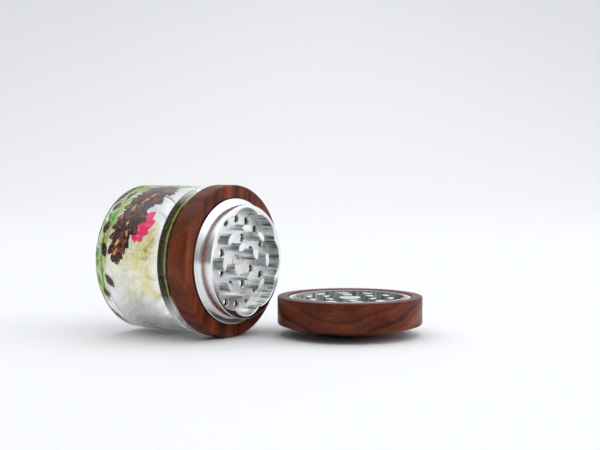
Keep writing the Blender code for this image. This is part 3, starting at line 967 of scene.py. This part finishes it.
def make_ochre_strokes(draw):
    strokes = []
    for index in range(16):
        centre = at(draw.uniform(-31.0, -19.5), draw.uniform(-26, 24))
        length = draw.uniform(4.0, 8.0) * MM
        turn = radians(draw.uniform(-20, 80))
        strokes.append((blot_outline(centre, length, length * 0.4, turn, 0.5, index + 40), centre))
    colors = ((0.66, 0.44, 0.10), (0.60, 0.52, 0.14), (0.56, 0.20, 0.07))
    ink = wash_ink("print_ochre", colors, strength=0.8, soft=0.8, cover=(0.30, 0.60), scale=0.4)
    print_piece("print_ochre_strokes", strokes, ink, 0.07)


def make_print():
    """A generic painted garden: dark leaves and seed pods, one crimson bloom, and pale washes, some of them
    painted light, with bands of painted reflection, highlight and shadow on the shoulder.
    """
    draw = random.Random(11)
    make_washes()
    make_grass(draw)
    make_dark_ground()
    make_dark_leaves(draw)
    make_embers(draw)
    make_bloom()
    make_seed_pods()
    make_ochre_strokes(draw)
    make_shoulder_bands()


def ramp_up(value, start, length):
    return min(1.0, max(0.0, (value - start) / length))


def shoulder_band(name, profile, colors, strength):
    """A band of ink round the shoulder that paints the glass's reflections and shadow, over the front of
    the jar, fading out at both ends.
    """
    low_end, high_end = -70, 80
    bm = bmesh.new()
    layer = bm.verts.layers.float.new("ink_edge")
    loops = []
    for step in range(FINE + 1):
        around = low_end + (high_end - low_end) * step / FINE
        angle = radians(around)
        fade = ramp_up(around, -60, 36) * ramp_up(-around, -78, 28)
        loop = []
        for height, radius in profile:
            vert = bm.verts.new(COLLAR_CENTRE + Vector((height, -radius * cos(angle), radius * sin(angle))))
            vert[layer] = fade
            loop.append(vert)
        loops.append(loop)
    for here, after in zip(loops, loops[1:]):
        bridge(bm, here, after, closed=False)
    ink = wash_ink(name, colors, strength, soft=1.0, cover=(0.1, 0.3), scale=0.4, clear=0.0)
    finished(object_from(name, bm), "jar", "jar_glass", ink)


def make_shoulder_bands():
    """Three bands over the bend of the shoulder: an olive painted reflection of the collar, a light line of
    painted highlight, and a dark painted shadow up to the neck.
    """
    lift = 0.02 * MM
    line_start, line_end = 37, 49  # on the bend, in degrees from the straight side
    bend = JAR_SHOULDER_BEND + lift
    straight_end = SHOULDER_CENTRE[0]
    # Olive: painted reflection of the collar's dark back face in the bend of the glass.
    olive = ((0.020, 0.017, 0.003), (0.034, 0.026, 0.005), (0.010, 0.008, 0.002))
    profile = [(straight_end - MM, JAR_RADIUS + lift), (straight_end - 0.5 * MM, JAR_RADIUS + lift)]
    profile += rounded(*SHOULDER_CENTRE, bend, 0, line_start, 5)
    shoulder_band("painted_reflection_band_olive", profile, olive, 0.96)
    # A light yellow-green line: painted highlight where the bend of the glass refracts the light.
    leaf = ((0.30, 0.26, 0.020), (0.42, 0.40, 0.040), (0.16, 0.12, 0.012))
    shoulder_band("painted_highlight_band_leaf", rounded(*SHOULDER_CENTRE, bend, line_start, line_end, 4), leaf, 0.97)
    # Dark: painted shadow in the gap between the shoulder and the collar.
    gap_shadow = ((0.012, 0.008, 0.003), (0.018, 0.009, 0.003), (0.008, 0.005, 0.002))
    profile = rounded(*SHOULDER_CENTRE, bend, line_end, 90, 5)
    profile += [(JAR_SHOULDER + lift, 31.5 * MM), (JAR_SHOULDER + lift, JAR_NECK_RADIUS + 1.2 * MM)]
    shoulder_band("painted_shadow_band_gap", profile, gap_shadow, 0.97)


# ---- lid


def make_lid_cap():
    bore = INSERT_RADIUS + PRESS_GAP
    rim = 0.7 * MM
    inner = 0.25 * MM
    pocket_floor = INSERT_BOTTOM - PRESS_GAP
    dome_edge = LID_RADIUS - 0.6 * MM
    steps = 20
    profile = [(0.0, 0.0)]
    for step in range(steps + 1):
        radius = LID_FLAT_RADIUS + (dome_edge - LID_FLAT_RADIUS) * step / steps
        profile.append(((radius**2 - LID_FLAT_RADIUS**2) / (2 * LID_DOME_RADIUS), radius))
    dome_height = profile[-1][0]
    profile += [(dome_height + 0.25 * MM, LID_RADIUS - 0.3 * MM), (dome_height + 0.8 * MM, LID_RADIUS)]
    profile += rounded(LID_HEIGHT - rim, LID_RADIUS - rim, rim, 0, 90)
    profile += [(LID_HEIGHT, bore + inner), (LID_HEIGHT - inner, bore)]
    profile += [(pocket_floor + INSERT_CORNER, bore), (pocket_floor, bore - INSERT_CORNER)]
    profile += [(pocket_floor, 0.0)]
    cap = turned("walnut_lid", profile, UPRIGHT)
    look = walnut("walnut_lid", heart=(-37.0, 82.0, 0.0), tilt=(89, 34, 3), shade=0.85)
    finished(cap, "lid", "lid_walnut", look, "lid_cap")


def make_lid_insert():
    edge = 0.3 * MM
    fillet = 0.4 * MM
    boss_chamfer = 0.15 * MM
    magnet_pocket = LID_MAGNET_RADIUS + MAGNET_GAP
    pocket_floor = LID_MAGNET_LOW.z - MAGNET_PLAY
    rim = LID_HEIGHT - 0.5 * MM
    tooth_root = CAVITY_FLOOR - 0.5 * MM
    profile = [
        (INSERT_BOTTOM, 0.0),
        (INSERT_BOTTOM, INSERT_RADIUS - INSERT_CORNER),
        (INSERT_BOTTOM + INSERT_CORNER, INSERT_RADIUS),
    ]
    profile += rounded(rim - edge, INSERT_RADIUS - edge, edge, 0, 90, 4)
    profile += rounded(rim - edge, CAVITY_RADIUS + edge, edge, 90, 180, 4)
    profile += rounded(CAVITY_FLOOR + fillet, CAVITY_RADIUS - fillet, fillet, 0, -90, 4)
    profile += [
        (CAVITY_FLOOR, BOSS_RADIUS),
        (LID_TOOTH_TIP - boss_chamfer, BOSS_RADIUS),
        (LID_TOOTH_TIP, BOSS_RADIUS - boss_chamfer),
        (LID_TOOTH_TIP, magnet_pocket),
        (pocket_floor, magnet_pocket),
        (pocket_floor, 0.0),
    ]
    insert = turned("lid_cup", profile, UPRIGHT)
    teeth = piece_from("lid_cup_teeth", teeth_mesh(LID_TEETH, tooth_root, LID_TOOTH_TIP), UPRIGHT)
    carved(insert, [("UNION", teeth)])
    look = milled_aluminium(
        "insert_aluminium",
        LID_CENTRE,
        "Z",
        heights=(CAVITY_FLOOR / MM - 1.0, CAVITY_FLOOR / MM, LID_TOOTH_TIP / MM),
        reach=CAVITY_RADIUS / MM + 0.3,
        streak=(0.55, 0.55, 0.05),
        satin_share=0.18,
    )
    finished(insert, "lid", "insert_aluminium", look, "lid_insert")


def make_lid_magnet():
    profile = disc_profile(LID_MAGNET_LOW.z, LID_TOOTH_TIP, LID_MAGNET_RADIUS)
    magnet = turned("lid_magnet_disc", profile, UPRIGHT, segments=SMALL)
    look = nickel("lid_magnet_nickel", LID_CENTRE, "Z")
    finished(magnet, "magnet", "lid_magnet_nickel", look, "lid_magnet")


def make_glide_ring():
    outer = half_width(GLIDE_LOW, GLIDE_HIGH, 0)
    profile = washer_profile(GLIDE_LOW.z, GLIDE_HIGH.z, outer - MM, outer, bend=0.2 * MM, steps=3)
    ring = turned("nylon_glide", profile, UPRIGHT, closed=True)
    look = soft_plastic("glide_nylon", (0.50, 0.51, 0.51), (0.42, 0.43, 0.44), roughness=0.36, scale=0.3)
    finished(ring, "glide", "glide_nylon", look, "glide_ring")


# ---- studio

# Area lights: (name, place, aimed at, size, power, colour), in metres and watts
LIGHTS = (
    ("overhead", (0.05, 0.25, 1.0), (0.0, 0.05, 0.0), (3.2, 2.6), 8.4, (1.0, 1.0, 1.0)),
    ("right_box", (1.05, 0.55, 0.55), (0.0, 0.0, 0.03), (0.7, 0.7), 1.0, (1.0, 0.98, 0.96)),
    ("backdrop_wash", (-0.6, 1.3, 1.9), (-1.2, 2.3, 0.3), (1.6, 0.8), 3.6, (1.0, 1.0, 1.0)),
)

AIR_COLOR = (0.95, 0.97, 1.0, 1.0)
BRIGHT_SIDE = (0.15, 0.50, 0.85)  # the air is brightest up and behind the object
AIR_FADE = {"From Min": -0.05, "From Max": 0.65, "To Min": 0.27, "To Max": 1.30}

PAPER_HALF_WIDTH = 4.0
PAPER_FRONT = -3.0
PAPER_FLAT_END = 1.3
PAPER_BEND = 1.3
PAPER_TOP = 4.0
PAPER_TURN = radians(35)

LENS = 72.0  # in mm, as is the sensor's width
SENSOR = 36.0
CAMERA_TURN = radians(35.41)
CAMERA_RISE = radians(3.07)
CAMERA_DISTANCE = 597.75 * MM
CAMERA_TARGET = COLLAR_CENTRE + Vector((26.25, 19.84, 18.0)) * MM


def make_backdrop():
    """A sheet of white paper that runs back from the table and sweeps up into the wall."""
    bm = bmesh.new()
    steps = 24
    # the second point keeps the smooth shading of the bend off the table
    line = [(PAPER_FRONT, 0.0), (1.0, 0.0), (PAPER_FLAT_END, 0.0)]
    for step in range(1, steps + 1):
        angle = radians(90 * step / steps)
        line.append((PAPER_FLAT_END + PAPER_BEND * sin(angle), PAPER_BEND - PAPER_BEND * cos(angle)))
    line.append((PAPER_FLAT_END + PAPER_BEND, PAPER_TOP))
    left = [bm.verts.new((-PAPER_HALF_WIDTH, y, z)) for y, z in line]
    right = [bm.verts.new((PAPER_HALF_WIDTH, y, z)) for y, z in line]
    bridge(bm, right, left, closed=False)
    paper = object_from("paper_sweep", bm)
    paper.data.materials.append(studio_paper("studio_paper"))
    paper.rotation_euler.z = PAPER_TURN


def area_light(name, place, target, size, power, color):
    data = bpy.data.lights.new(name, "AREA")
    data.shape = "RECTANGLE"
    data.size, data.size_y = size
    data.energy = power
    data.color = color
    light = bpy.data.objects.new(name, data)
    light.location = place
    light.rotation_euler = (Vector(target) - Vector(place)).to_track_quat("-Z", "Y").to_euler()
    bpy.context.scene.collection.objects.link(light)


def make_air():
    """A pale world that is brighter on one side."""
    world = bpy.data.worlds.new("studio_air")
    world.use_nodes = True
    nodes, links = world.node_tree.nodes, world.node_tree.links
    background = nodes["Background"]
    background.inputs["Color"].default_value = AIR_COLOR
    towards = nodes.new("ShaderNodeVectorMath")
    towards.operation = "DOT_PRODUCT"
    links.new(nodes.new("ShaderNodeTexCoord").outputs["Generated"], towards.inputs[0])
    towards.inputs[1].default_value = BRIGHT_SIDE
    fade = nodes.new("ShaderNodeMapRange")
    links.new(towards.outputs["Value"], fade.inputs["Value"])
    for name, value in AIR_FADE.items():
        fade.inputs[name].default_value = value
    links.new(fade.outputs["Result"], background.inputs["Strength"])
    bpy.context.scene.world = world


def make_studio():
    make_backdrop()
    make_air()
    bpy.context.scene.view_settings.view_transform = "Standard"
    for light in LIGHTS:
        area_light(*light)


def make_camera():
    """Just above the table, looking across the plate at the lid."""
    data = bpy.data.cameras.new("camera")
    data.lens = LENS
    data.sensor_width = SENSOR
    data.clip_start = 0.02
    camera = bpy.data.objects.new("camera", data)
    level = cos(CAMERA_RISE)
    back = Vector((sin(CAMERA_TURN) * level, -cos(CAMERA_TURN) * level, sin(CAMERA_RISE)))
    camera.location = CAMERA_TARGET + back * CAMERA_DISTANCE
    camera.rotation_euler = (-back).to_track_quat("-Z", "Y").to_euler()
    bpy.context.scene.collection.objects.link(camera)
    bpy.context.scene.camera = camera


make_camera()
make_studio()
make_collar()
make_plate()
make_thread_ring()
make_plate_magnet()
make_seal()
make_jar()
make_print()
make_lid_cap()
make_lid_insert()
make_lid_magnet()
make_glide_ring()
